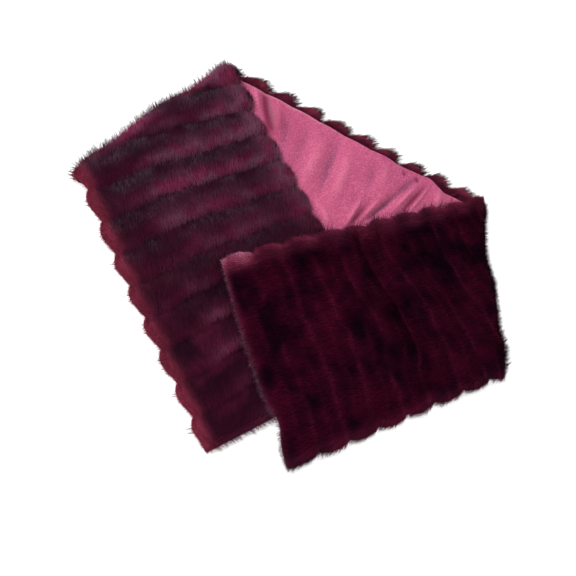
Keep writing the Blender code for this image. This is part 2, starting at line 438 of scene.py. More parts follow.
def splayed_nap(stretch, station, reach, look):
    """The way the pile is combed: on along the strip, and out over its two edges and its start."""
    near_lower = fall(reach, lower_edge(station), NAP_SPLAY_WIDTH)
    near_upper = fall(upper_edge(station), reach, NAP_SPLAY_WIDTH)
    near_start = fall(station, 0.0, 0.014)
    sideways = look.splay * near_upper - 1.25 * near_lower + look.drift
    sideways += 0.10 * unevenness(station, reach)
    onward = 1.0 - 1.9 * near_start - look.back * near_lower
    way = stretch.along * onward + stretch.across * sideways
    return Vector((way.x, way.y, 0.0)).normalized()


class Look:
    """What sets one stretch's pile apart: its relief, its lean, its colours with their painted sheen and rim
    light, and its nap.
    """

    def __init__(self, pile, bend, light, rim, haze, drawn_in, drift, back, splay):
        self.pile = pile
        self.bend = bend
        self.light = light
        self.rim = rim
        self.haze = haze
        self.drawn_in = drawn_in
        self.drift = drift
        self.back = back
        self.splay = splay

    def spot(self, low, high, station, reach, nap, cover):
        turns = (station - self.bend(station, reach)) / RIB_PITCH
        rim = self.rim(station, reach)
        return Spot(low, high, station, reach, nap, cover, turns, self.light(station, reach),
                    rim, self.haze(station, reach), 0.55 * min(1.0, rim))


def patched(patches, station, reach):
    """Sum of soft patches: station and reach of each centre, half sizes along and across, amount."""
    total = 0.0
    for centre_s, centre_r, half_s, half_r, amount in patches:
        away = math.hypot((station - centre_s) / half_s, (reach - centre_r) / half_r)
        total += amount * (1.0 - ease(away))
    return total


# Lighter and darker places in the pile
# On the left stretch they set where the painted sheen is stronger or weaker, and where they bring it below 0,
# painted black shade in the gaps by the fold and along the upper edge
LEFT_PATCHES = (
    (0.235, 0.080, 0.035, 0.040, 0.30),
    (0.165, 0.100, 0.035, 0.045, 0.36),
    (0.110, 0.085, 0.030, 0.040, 0.36),
    (0.395, 0.130, 0.030, 0.070, 0.25),
    (0.350, 0.190, 0.030, 0.060, 0.12),
    (0.536, 0.256, 0.020, 0.016, -1.05),
    (0.530, 0.236, 0.018, 0.030, -0.55),
    (0.545, 0.296, 0.024, 0.018, 0.30),
    (0.503, 0.282, 0.014, 0.030, -0.60),
    (0.468, 0.300, 0.012, 0.024, -0.45),
    (0.551, 0.317, 0.020, 0.013, -3.20),
    (0.523, 0.317, 0.010, 0.010, -2.60),
    (0.503, 0.317, 0.015, 0.012, -3.20),
    (0.461, 0.317, 0.010, 0.010, -2.80),
    (0.404, 0.317, 0.009, 0.009, -2.20),
    (0.395, 0.260, 0.025, 0.030, -0.25),
    (0.300, 0.150, 0.040, 0.060, -0.20),
    (0.290, 0.270, 0.040, 0.050, -0.20),
    (0.255, 0.060, 0.040, 0.030, 0.12),
    (0.235, 0.110, 0.050, 0.040, 0.16),
    (0.130, 0.100, 0.050, 0.040, 0.16),
    (0.458, 0.114, 0.030, 0.050, -0.34),
    (0.419, 0.150, 0.026, 0.040, -0.24),
    (0.224, 0.031, 0.035, 0.026, 0.18),
    (0.161, 0.066, 0.026, 0.030, -0.14),
)
RIGHT_PATCHES = (
    (1.541, 0.276, 0.016, 0.030, -0.30),
    (1.520, 0.250, 0.018, 0.050, -0.28),
    (1.338, 0.262, 0.018, 0.036, -0.48),
    (1.269, 0.280, 0.014, 0.026, -0.45),
    (1.243, 0.262, 0.016, 0.024, -0.30),
    (1.205, 0.258, 0.018, 0.024, -0.45),
    (1.489, 0.165, 0.020, 0.046, -0.40),
    (1.371, 0.110, 0.017, 0.046, -0.50),
    (1.422, 0.084, 0.020, 0.028, -0.42),
    (1.482, 0.060, 0.020, 0.034, -0.46),
    (1.519, 0.075, 0.016, 0.036, -0.48),
    (1.563, 0.070, 0.016, 0.050, -0.30),
    (1.545, 0.160, 0.020, 0.050, -0.30),
    (1.303, 0.124, 0.020, 0.050, -0.25),
    (1.263, 0.090, 0.020, 0.060, -0.28),
    (1.440, 0.262, 0.018, 0.040, -0.22),
    (1.577, 0.285, 0.030, 0.050, 0.50),
    (1.160, 0.243, 0.034, 0.044, 0.80),
    (1.192, 0.140, 0.030, 0.070, 0.40),
    (1.245, 0.212, 0.024, 0.034, 0.35),
    (1.348, 0.186, 0.026, 0.034, 0.38),
    (1.430, 0.191, 0.030, 0.040, 0.42),
    (1.403, 0.037, 0.024, 0.022, 0.50),
    (1.404, 0.240, 0.022, 0.050, 0.32),
    (1.585, 0.120, 0.020, 0.090, 0.30),
    (1.455, 0.110, 0.018, 0.030, 0.30),
    (1.330, 0.060, 0.022, 0.030, 0.25),
)


def left_light(station, reach):
    """How much painted mauve sheen shows, little by the free end and most by the fold. Below 0 is black,
    painted shade in the gaps by the fold and along the upper edge.
    """
    level = 0.24 + 0.82 * rise(station, 0.20, 0.24)
    level *= 0.15 + 0.85 * rise(reach, 0.055, 0.055)
    before_fold = left_fold_station(reach) - station
    shade = 0.85 * fall(before_fold, 0.038, 0.022) * fall(reach, 0.225, 0.040)
    return max(0.0, level - shade) + patched(LEFT_PATCHES, station, reach)


# Painted rim light along the lower edge, partly the red undercoat showing where the hairs part
def left_rim(station, reach):
    nose = rise(station - left_fold_station(reach), -0.004, 0.010)
    width = 0.021 - 0.006 * (1.0 - rib_swell(station))
    return fall(reach - lower_edge(station), 0.004, width) * (1.0 - 0.4 * nose)


def left_sheen(station, reach):
    """Painted mauve sheen that shows whatever the rib: round the fold, and along the upper edge."""
    nose = rise(station - left_fold_station(reach), -0.008, 0.010)
    bright = 0.12 + 0.90 * bump(reach, 0.105, 0.065) + 1.00 * bump(reach, 0.275, 0.075)
    edge = 0.60 * rise(reach, 0.274, 0.025) * rise(station, 0.20, 0.16)
    black = min(0.0, patched(LEFT_PATCHES, station, reach) + 0.9)
    return max(0.0, max(nose * bright, edge) + black)


def right_light(station, reach):
    return 0.5 + patched(RIGHT_PATCHES, station, reach)


# Painted rim light along the upper edge near the free end, round the free end and faintly along the lower
# edge; past 0.8 it paints a pink highlight
def right_rim(station, reach):
    corner = rise(station, 1.52, 0.07)
    upper = rise(reach - WIDTH, -0.036, 0.028) * (0.55 + 1.50 * corner)
    upper = upper * (0.75 + 0.25 * math.sin(2.0 * math.pi * station / RIB_PITCH))
    end = rise(station - LENGTH, -0.010, 0.007) * (0.35 + 0.60 * rise(reach, 0.18, 0.10))
    lower = 0.12 * fall(reach, 0.004, 0.020)
    return max(upper, end, lower)


def right_tip_sheen(station, reach):
    """Painted grey sheen on the dark tips of the hairs along the free end and the upper edge."""
    end = rise(station - LENGTH, -0.004, 0.002)
    upper = 0.8 * rise(reach - upper_edge(station), -0.004, 0.003) * rise(station, 1.53, 0.04)
    return max(end, upper)


def not_drawn(station, reach):
    return 0.0


def right_drawn_in(station, reach):
    """How far the right stretch's free end is drawn in near its lower edge."""
    near_end = rise(station - LENGTH, -0.030, 0.030)
    return 0.007 * near_end * rise(reach, 0.022, 0.038) * fall(reach, 0.062, 0.045)


LEFT_LOOK = Look(left_pile, left_bend, left_light, left_rim, left_sheen, not_drawn,
                 drift=0.20, back=1.1, splay=0.45)
RIGHT_LOOK = Look(right_pile, right_bend, right_light, right_rim, right_tip_sheen, right_drawn_in,
                  drift=0.05, back=0.2, splay=1.0)


def top_stretch(name, stretch, rows, columns, fold_station, fold_reach, base, end, out_sign, look):
    """A stretch that lies fur up, from its free end to round its fold."""
    lower = stretch.place(fold_station(0.0), 0.0)
    crease = (stretch.place(fold_station(WIDTH), WIDTH) - lower).normalized()
    outward = Vector((crease.y, -crease.x))
    if outward.dot(stretch.along) * out_sign < 0.0:
        outward = -outward

    def reaches_at(station):
        return edge_reaches(station, columns)

    sides = edge_distances(columns)
    limits = [crossing(fold_station, reaches_at, j) for j in range(len(sides))]
    covered = hidden_by_right if out_sign > 0 else (lambda point: False)
    sections = []
    cut = []
    for row in rows + [None]:
        section = []
        for j, (side, limit) in enumerate(zip(sides, limits)):
            at_fold = row is None or (limit - row) * out_sign < SHORTEST_STEP
            station = limit if at_fold else row
            reach = reaches_at(station)[j]
            point = stretch.place(station - look.drawn_in(station, reach), reach)
            low, high = wall_heights(
                point, station, reach, look.pile, base, side, abs(station - end))
            nap = splayed_nap(stretch, station, reach, look)
            cover = 0.0 if covered(point) else 1.0
            spot = look.spot(lift(point, low), lift(point, high), station, reach, nap, cover)
            section.append(spot)
            if row is None:
                cut.append((point, spot, low, high, side))
        sections.append(section)
    for step in range(1, FOLD_STEPS + 1):
        angle = math.pi * (0.5 - step / FOLD_STEPS)
        section = []
        for point, spot, low, high, side in cut:
            share = spot.reach / WIDTH
            full = RIM_LEVEL + (1.0 - RIM_LEVEL) * roll(side, ROLL_OVER)
            out = max(LEAST_FOLD_REACH, fold_reach(share) - UNDERCOAT_INSET) * full * math.cos(angle)
            outer = lift(point + outward * out, 0.5 * high * (1.0 + math.sin(angle)))
            inner = lift(point, low * (1.0 - step / FOLD_STEPS))
            if side <= 0.0:
                inner = outer
            past = out_sign * (out + 0.5 * high * (1.0 - math.sin(angle)))
            onward = out_sign * max(LEAST_ONWARD, abs(spot.nap.dot(lift(outward, 0.0))))
            turn = 1.0 - max(0.0, math.sin(angle))
            brush = spot.nap - lift(outward, 0.0) * onward * turn
            brush = brush - Vector((0.0, 0.0, onward * math.cos(angle)))
            cover = 1.0 if math.sin(angle) > PILE_ENDS_UNDER_FOLD else 0.0
            section.append(look.spot(
                inner, outer, spot.station + past, spot.reach, brush.normalized(), cover))
        sections.append(section)
    return shell_from_sections(name, sections)


def left_fold_reach(share):
    dips = 0.0045 * bump(share, 0.74, 0.20) + 0.0030 * bump(share, 0.30, 0.18)
    rise = 0.0030 * bump(share, 0.08, 0.16) + 0.0030 * bump(share, 0.97, 0.12)
    return 0.0155 + 0.008 * math.sin(math.pi * min(1.0, max(0.0, share))) - dips + rise


def right_fold_reach(share):
    turn = 2.0 * math.pi * (share - 0.55) / 0.385
    dips = 0.0020 * bump(share, 0.72, 0.22) + 0.0035 * bump(share, 0.34, 0.16)
    return 0.0105 - 0.007 * share + 0.0035 * math.cos(turn) - dips


def middle_layer(name, rows, reaches_at, sides, heights_at):
    """A layer of the middle stretch, ending just inside both fold lines."""
    slant_left = GAP * math.hypot(1.0, (LEFT_FOLD_UPPER - LEFT_FOLD_LOWER) / WIDTH)
    slant_right = GAP * math.hypot(1.0, (RIGHT_FOLD_UPPER - RIGHT_FOLD_LOWER) / WIDTH)
    columns = range(len(sides))
    starts = [crossing(left_fold_station, reaches_at, j) + slant_left for j in columns]
    finishes = [crossing(right_fold_under, reaches_at, j) - slant_right for j in columns]
    sections = []
    for row in [min(starts)] + rows + [max(finishes)]:
        section = []
        for j, side in enumerate(sides):
            station = row
            if station < starts[j] + SHORTEST_STEP:
                station = starts[j]
            if station > finishes[j] - SHORTEST_STEP:
                station = finishes[j]
            reach = reaches_at(station)[j]
            point = MIDDLE.place(station, reach)
            low, high = heights_at(point, station, reach, side)
            outer = 1.0 if reach > lining_edge(station) + 0.0015 else 0.0
            way = 0.60 * MIDDLE.along + 1.0 * MIDDLE.across
            nap = Vector((way.x, way.y, 0.10)).normalized()
            # fold, kept as light, gives the lining painted highlights on crease ridges and painted shade in
            # crease troughs
            fold = max(-1.0, min(1.0, crease_height(station, reach) / 0.004))
            # Painted ruby shade in crease troughs and in the fur's shadow, kept as haze
            ruby_shade = max(0.0, min(1.0, sum_of_lines(LINING_PAINTED_SHADE, station, reach)))
            # Painted highlight along the lining's upper seam, kept as rim
            seam = bump(reach, lining_edge(station) - 0.001, 0.0035) * bump(station, 0.70, 0.16)
            section.append(Spot(lift(point, low), lift(point, high), station, reach, nap, outer,
                                light=fold, rim=seam, haze=ruby_shade))
        sections.append(section)
    return shell_from_sections(name, sections)


def pressed_heights(point, station, reach, side):
    low, high = wall_heights(point, station, reach, pressed_pile, flat_base, side, WIDTH)
    if side > PRESSED_RIM:
        low = 0.0
    return low, high


# Creases of the lining: station and reach of each end, half width, and height
LINING_CREASES = (
    (0.957, 0.294, 0.927, 0.235, 0.0062, -0.0040),
    (0.930, 0.240, 0.894, 0.160, 0.0040, -0.0070),
    (0.958, 0.280, 0.930, 0.200, 0.0032, 0.0044),
    (0.977, 0.290, 0.944, 0.200, 0.0036, -0.0036),
    (0.983, 0.296, 0.955, 0.200, 0.0026, 0.0042),
    (0.884, 0.190, 0.868, 0.128, 0.0036, -0.0042),
    (0.872, 0.208, 0.862, 0.126, 0.0030, 0.0038),
    (0.903, 0.216, 0.881, 0.152, 0.0034, 0.0034),
    (0.925, 0.292, 0.932, 0.282, 0.0022, -0.0034),
    (0.953, 0.294, 0.959, 0.283, 0.0022, -0.0034),
    (0.936, 0.302, 0.946, 0.297, 0.0018, 0.0024),
    (1.000, 0.298, 1.008, 0.240, 0.0070, 0.0030),
    (0.846, 0.108, 0.806, 0.152, 0.0042, 0.0030),
    (0.838, 0.100, 0.812, 0.130, 0.0042, -0.0030),
    (0.795, 0.290, 0.799, 0.160, 0.0090, -0.0036),
    (0.822, 0.284, 0.826, 0.150, 0.0110, 0.0030),
    (0.768, 0.280, 0.766, 0.150, 0.0130, 0.0028),
    (0.736, 0.300, 0.742, 0.170, 0.0110, -0.0022),
    (0.688, 0.300, 0.712, 0.200, 0.0110, -0.0028),
    (0.666, 0.304, 0.700, 0.224, 0.0080, 0.0026),
    (0.638, 0.306, 0.680, 0.240, 0.0058, -0.0052),
    (0.620, 0.305, 0.642, 0.268, 0.0022, 0.0040),
    (0.892, 0.292, 0.898, 0.226, 0.0090, 0.0022),
    (0.872, 0.290, 0.878, 0.210, 0.0100, -0.0022),
)
# Painted ruby shade on the lining, in crease troughs and in the fur's shadow at the top left, given as the
# creases are, with an amount
LINING_PAINTED_SHADE = (
    (0.635, 0.308, 0.684, 0.232, 0.0078, 1.60),
    (0.640, 0.300, 0.740, 0.230, 0.0300, 0.42),
    (0.975, 0.286, 0.945, 0.200, 0.0046, 1.20),
    (0.886, 0.196, 0.868, 0.128, 0.0050, 1.00),
    (0.925, 0.292, 0.932, 0.282, 0.0034, 1.20),
    (0.953, 0.294, 0.959, 0.283, 0.0034, 1.20),
    (0.920, 0.250, 0.906, 0.200, 0.0060, 0.45),
)


def sum_of_lines(lines, station, reach):
    """Sum of soft lines, each fading to its ends and its sides."""
    total = 0.0
    for start_s, start_r, end_s, end_r, half_width, amount in lines:
        run_s, run_r = end_s - start_s, end_r - start_r
        length = math.hypot(run_s, run_r)
        share = ((station - start_s) * run_s + (reach - start_r) * run_r) / length ** 2
        away = abs((station - start_s) * run_r - (reach - start_r) * run_s) / length
        if -0.25 < share < 1.25 and away < 2.5 * half_width:
            total += amount * math.exp(-(away / half_width) ** 2) * bump(share, 0.5, 0.75)
    return total


def crease_height(station, reach):
    return sum_of_lines(LINING_CREASES, station, reach)


def lining_edge(station):
    """Reach of the lining's upper seam, drawn in a little at each groove and by the right fold."""
    drawn = 0.005 * bump(station, PUCKER_STATION, 0.05) + 0.0045 * bump(station, 0.83, 0.14)
    drawn += 0.013 * rise(station, 0.972, 0.042)
    return WIDTH - LINING_INSET + 0.0016 * (rib_swell(station) - 0.5) - drawn


def lining_reaches(station):
    """Reaches of the lining's columns, close together over the part that shows."""
    hidden = LINING_FINE_FROM - LINING_INSET
    shown = lining_edge(station) - LINING_FINE_FROM
    reaches = [LINING_INSET + hidden * i / LINING_COARSE_COLUMNS for i in range(LINING_COARSE_COLUMNS)]
    for i in range(LINING_FINE_COLUMNS + 1):
        reaches.append(LINING_FINE_FROM + shown * (i / LINING_FINE_COLUMNS))
    return reaches


def lining_heights(point, station, reach, side):
    shown = rise(reach, 0.10, 0.03)
    fold = crease_height(station, reach) * shown
    seam = bump(reach, lining_edge(station), 0.006)
    fold = fold * (1.0 - 0.6 * seam) + 0.0004 * seam
    puff = 0.0022 * shown * math.sin(math.pi * min(1.0, max(0.0, (station - 0.6) / 0.45)))
    top = LINING_TOP + fold + puff + 0.0004
    return max(0.0065, top - LINING_THICK), top


# Materials


class Finish:
    """A node-based material, with short ways to make the nodes that it needs."""

    def __init__(self, name):
        self.material = bpy.data.materials.new(name)
        self.material.use_nodes = True
        self.nodes = self.material.node_tree.nodes
        self.links = self.material.node_tree.links
        self.shader = self.nodes["Principled BSDF"]

    def put(self, socket, value):
        if isinstance(value, bpy.types.NodeSocket):
            self.links.new(value, socket)
        elif isinstance(value, tuple) and len(value) == 3 and socket.type == "RGBA":
            socket.default_value = (*value, 1.0)
        else:
            socket.default_value = value

    def attribute(self, name):
        node = self.nodes.new("ShaderNodeAttribute")
        node.attribute_name = name
        return node.outputs["Fac"]

    def math(self, operation, first, second=0.0, third=0.0, clamp=False):
        node = self.nodes.new("ShaderNodeMath")
        node.operation = operation
        node.use_clamp = clamp
        for socket, value in zip(node.inputs, (first, second, third)):
            self.put(socket, value)
        return node.outputs[0]

    def product(self, *values, clamp=False):
        total = values[0]
        for value in values[1:-1]:
            total = self.math("MULTIPLY", total, value)
        return self.math("MULTIPLY", total, values[-1], clamp=clamp)

    def less(self, value):
        """What is left of 1."""
        return self.math("SUBTRACT", 1.0, value)

    def between(self, value, low, high):
        """0 at low and 1 at high, smooth between them."""
        node = self.nodes.new("ShaderNodeMapRange")
        node.interpolation_type = "SMOOTHSTEP"
        self.put(node.inputs["Value"], value)
        node.inputs["From Min"].default_value = low
        node.inputs["From Max"].default_value = high
        return node.outputs["Result"]

    def noise(self, scale, detail):
        place = self.nodes.new("ShaderNodeTexCoord").outputs["Object"]
        node = self.nodes.new("ShaderNodeTexNoise")
        self.links.new(place, node.inputs["Vector"])
        node.inputs["Scale"].default_value = scale
        node.inputs["Detail"].default_value = detail
        return node.outputs["Fac"]

    def mix(self, factor, first, second, blend="MIX"):
        node = self.nodes.new("ShaderNodeMix")
        node.data_type = "RGBA"
        node.blend_type = blend
        self.put(node.inputs["Factor"], factor)
        self.put(node.inputs["A"], first)
        self.put(node.inputs["B"], second)
        return node.outputs["Result"]

    def curve(self, value, stops):
        """A grey ramp through (place, level) stops."""
        node = self.nodes.new("ShaderNodeValToRGB")
        ramp = node.color_ramp
        ramp.interpolation = "EASE"
        while len(ramp.elements) < len(stops):
            ramp.elements.new(0.5)
        for element, (at, level) in zip(ramp.elements, stops):
            element.position = at
            element.color = (level, level, level, 1.0)
        self.put(node.inputs["Fac"], value)
        return node.outputs["Color"]

    def add_grain(self, scale, detail, strength, distance):
        node = self.nodes.new("ShaderNodeBump")
        node.inputs["Strength"].default_value = strength
        node.inputs["Distance"].default_value = distance
        self.links.new(self.noise(scale, detail), node.inputs["Height"])
        self.links.new(node.outputs["Normal"], self.shader.inputs["Normal"])

    def finished(self, color, roughness, shine):
        self.put(self.shader.inputs["Base Color"], color)
        self.shader.inputs["Roughness"].default_value = roughness
        self.shader.inputs["Specular IOR Level"].default_value = shine
        return self.material


# Colours of the fur and the satin, as light sent back from 0 to 1
FUR_BLACK = (0.020, 0.0036, 0.0125)
FUR_WINE = (0.104, 0.0078, 0.0340)
# Painted sheen colours for the left stretch's lit rib sides, partly the hairs' own crimson and mauve
FUR_CRIMSON_SHEEN = (0.285, 0.036, 0.100)
FUR_MAUVE_SHEEN = (0.268, 0.092, 0.162)
FUR_RUBY_RIM_LIGHT = (0.310, 0.036, 0.074)
FUR_GREY_SHEEN = (0.150, 0.122, 0.155)
FUR_TIP = (0.020, 0.014, 0.018)
DEEP_BLACK = (0.0120, 0.0008, 0.0100)
DEEP_WINE = (0.086, 0.0030, 0.0215)
DEEP_RIDGE_HIGHLIGHT = (0.250, 0.0190, 0.0700)
DEEP_RUBY_RIM_LIGHT = (0.400, 0.050, 0.122)
EDGE_PINK_HIGHLIGHT = (0.720, 0.250, 0.400)
WARM_WINE = (0.200, 0.014, 0.054)
MIDDLE_DARK = (0.150, 0.010, 0.040)
MIDDLE_LIGHT = (0.360, 0.046, 0.090)
MIDDLE_INNER_SHADE = (0.085, 0.0030, 0.0230)
SATIN_ROSE = (0.380, 0.060, 0.142)
SATIN_PINK = (0.470, 0.078, 0.170)
SATIN_CREST_HIGHLIGHT = (0.590, 0.135, 0.240)
SATIN_TROUGH_SHADE = (0.190, 0.040, 0.100)
SATIN_RUBY_SHADE = (0.160, 0.007, 0.038)
SATIN_SEAM_HIGHLIGHT = (0.700, 0.260, 0.380)
SATIN_GLINT = (0.600, 0.160, 0.280)
SATIN_DIMPLE_SHADE = (0.250, 0.038, 0.100)


def rib_phase(finish, shift, own=0.09, wander=0.22):
    """0 to 1 over each rib, with each hair reading a little further on or back."""
    turns = finish.attribute("turns")
    turns = finish.math("MULTIPLY_ADD", finish.attribute("along"), 0.05, turns)
    turns = finish.math("MULTIPLY_ADD", finish.attribute("tint"), own, turns)
    turns = finish.math("MULTIPLY_ADD", finish.noise(26.0, 2.0), wander, turns)
    return finish.math("FRACT", finish.math("ADD", turns, shift + 2.0))


def finish_hair(finish, color, shine):
    """Darken some tips, shade each hair towards its root and vary it from the next."""
    along = finish.attribute("along")
    tips = finish.product(finish.between(along, 0.10, 0.50), finish.attribute("dark_tip"), 0.9)
    color = finish.mix(tips, color, FUR_TIP)
    shade = finish.math("MULTIPLY_ADD", along, 0.55, 0.55)
    vary = finish.math("MULTIPLY_ADD", finish.attribute("tint"), 0.46, 0.77)
    color = finish.mix(1.0, color, finish.product(shade, vary), "MULTIPLY")
    return finish.finished(color, 0.6, shine)


def left_fur(name):
    finish = Finish(name)
    station = finish.attribute("station")
    along = finish.attribute("along")
    level = finish.attribute("light")
    # Painted light and shade over each rib, bright on its lit side and dark in its valley
    rib = finish.curve(rib_phase(finish, -0.31), (
        (0.0, 1.0), (0.10, 0.86), (0.26, 0.36), (0.42, 0.17), (0.58, 0.06), (0.70, 0.0), (0.88, 0.0),
        (0.93, 0.90)))
    patches = finish.math("MULTIPLY_ADD", finish.noise(20.0, 2.0), 2.4, -0.10)
    light = finish.product(rib, level, patches)
    # Painted sheen round the fold and along the upper edge, from the haze attribute
    light = finish.math("ADD", light, finish.attribute("haze"), clamp=True)
    # Black in the rib valleys and wine on the crests: painted shade, partly the hairs' own dark tips
    wine = finish.math("MULTIPLY_ADD", rib, 0.75, finish.product(patches, 0.22), clamp=True)
    color = finish.mix(wine, FUR_BLACK, FUR_WINE)
    low = finish.less(finish.between(station, 0.12, 0.42))
    warm = finish.product(low, finish.between(finish.noise(17.0, 2.0), 0.46, 0.62), 0.36)
    color = finish.mix(warm, color, WARM_WINE)
    crimson = finish.between(finish.noise(30.0, 3.0), 0.40, 0.62)
    crimson = finish.math("MAXIMUM", crimson, finish.product(low, 0.55))
    # Painted sheen: mauve, or crimson low down, where the light attribute and the rib ramp are high, partly
    # the hairs' own colour showing
    color = finish.mix(light, color, finish.mix(crimson, FUR_MAUVE_SHEEN, FUR_CRIMSON_SHEEN))
    # Painted sheen: grey on the dark tips in the rib valleys
    grey_sheen = finish.product(
        finish.between(along, 0.30, 0.85), finish.less(finish.between(rib, 0.03, 0.35)),
        finish.between(station, 0.10, 0.42), finish.between(finish.noise(30.0, 1.0), 0.32, 0.66),
        finish.between(finish.attribute("tint"), 0.15, 0.75), 0.75)
    color = finish.mix(grey_sheen, color, FUR_GREY_SHEEN)
    # Painted rim light in ruby, partly the red undercoat showing
    rim = finish.product(finish.attribute("rim"), finish.product(patches, 0.95), clamp=True)
    color = finish.mix(rim, color, FUR_RUBY_RIM_LIGHT)
    # Black where the light attribute is below 0: painted shade in the gaps by the fold and along the upper
    # edge
    color = finish.mix(finish.product(level, -3.0, clamp=True), color, FUR_TIP)
    return finish_hair(finish, color, 0.06)


def right_fur(name):
    finish = Finish(name)
    # Painted highlights along the lit ridges of the ribs
    rib = finish.curve(rib_phase(finish, -0.10, 0.05, 0.34), (
        (0.0, 0.10), (0.08, 0.22), (0.14, 1.0), (0.19, 0.55), (0.26, 0.12), (0.56, 0.06), (0.62, 0.55),
        (0.68, 0.05), (0.84, 0.0), (1.0, 0.10)))
    fading = finish.between(finish.noise(24.0, 1.0), 0.30, 0.62)
    patches = finish.math("MULTIPLY_ADD", finish.noise(22.0, 3.0), 3.8, -1.38)
    level = finish.math("ADD", finish.attribute("light"), 0.45)
    color = finish.mix(finish.product(level, patches, clamp=True), DEEP_BLACK, DEEP_WINE)
    ridge_highlight = finish.product(rib, finish.math("MULTIPLY_ADD", fading, 0.48, 0.06), clamp=True)
    color = finish.mix(ridge_highlight, color, DEEP_RIDGE_HIGHLIGHT)
    rim = finish.attribute("rim")
    # Painted rim light in ruby, and past 0.8 a painted pink highlight along the edge
    color = finish.mix(finish.product(rim, 0.85, clamp=True), color, DEEP_RUBY_RIM_LIGHT)
    color = finish.mix(finish.math("SUBTRACT", rim, 0.8, clamp=True), color, EDGE_PINK_HIGHLIGHT)
    # Painted grey sheen on the hair tips where the haze attribute marks it
    tips = finish.product(
        finish.between(finish.attribute("along"), 0.20, 0.50),
        finish.between(finish.attribute("tint"), 0.25, 0.60), finish.attribute("haze"))
    color = finish.mix(tips, color, FUR_GREY_SHEEN)
    return finish_hair(finish, color, 0.04)


def middle_fur(name):
    finish = Finish(name)
    patches = finish.between(finish.noise(26.0, 2.0), 0.35, 0.65)
    color = finish.mix(patches, MIDDLE_DARK, MIDDLE_LIGHT)
    # Painted shade in the fur next to the lining's edge
    inner = finish.between(finish.attribute("reach"), 0.313, 0.302)
    color = finish.mix(finish.product(inner, 0.85), color, MIDDLE_INNER_SHADE)
    tips = finish.between(finish.attribute("along"), 0.55, 0.95)
    color = finish.mix(finish.product(tips, 0.7), color, FUR_TIP)
    return finish_hair(finish, color, 0.06)


def undercoat(name, dark, light, rim_color):
    """The short dense fur under the hairs, with rim_color along the strip's edges: painted rim light, partly
    the undercoat's own red.
    """
    finish = Finish(name)
    color = finish.mix(finish.between(finish.noise(60.0, 3.0), 0.35, 0.65), dark, light)
    color = finish.mix(finish.product(finish.attribute("rim"), 0.8, clamp=True), color, rim_color)
    finish.add_grain(420.0, 2.0, 0.8, 0.002)
    return finish.finished(color, 0.9, 0.03)


def satin_lining(name):
    finish = Finish(name)
    grain = finish.noise(430.0, 4.0)
    fold = finish.attribute("light")
    ruby_shade = finish.attribute("haze")
    color = finish.mix(finish.between(finish.noise(14.0, 3.0), 0.30, 0.70), SATIN_ROSE, SATIN_PINK)
    # Painted highlight on crease ridges and painted shade in crease troughs
    color = finish.mix(finish.between(fold, 0.10, 1.00), color, SATIN_CREST_HIGHLIGHT)
    trough_shade = finish.less(finish.between(fold, -1.00, -0.10))
    color = finish.mix(finish.product(trough_shade, 0.90), color, SATIN_TROUGH_SHADE)
    # Painted ruby shade in crease troughs and in the fur's shadow
    color = finish.mix(finish.product(ruby_shade, 0.90), color, SATIN_RUBY_SHADE)
    # Painted highlight along the upper seam
    color = finish.mix(finish.product(finish.attribute("rim"), 0.55), color, SATIN_SEAM_HIGHLIGHT)
    # Painted glints on the satin's crushed grain, fewer under the ruby shade, and painted shade in its
    # dimples
    plain = finish.math("SUBTRACT", 0.60, finish.product(ruby_shade, 0.55))
    color = finish.mix(finish.product(finish.between(grain, 0.46, 0.70), plain), color, SATIN_GLINT)
    dimple_shade = finish.less(finish.between(grain, 0.30, 0.50))
    color = finish.mix(finish.product(dimple_shade, 0.60), color, SATIN_DIMPLE_SHADE)
    finish.shader.inputs["Sheen Weight"].default_value = 0.10
    finish.shader.inputs["Sheen Roughness"].default_value = 0.4
    finish.add_grain(700.0, 3.0, 0.25, 0.0006)
    return finish.finished(color, 0.50, 0.20)


# Pile


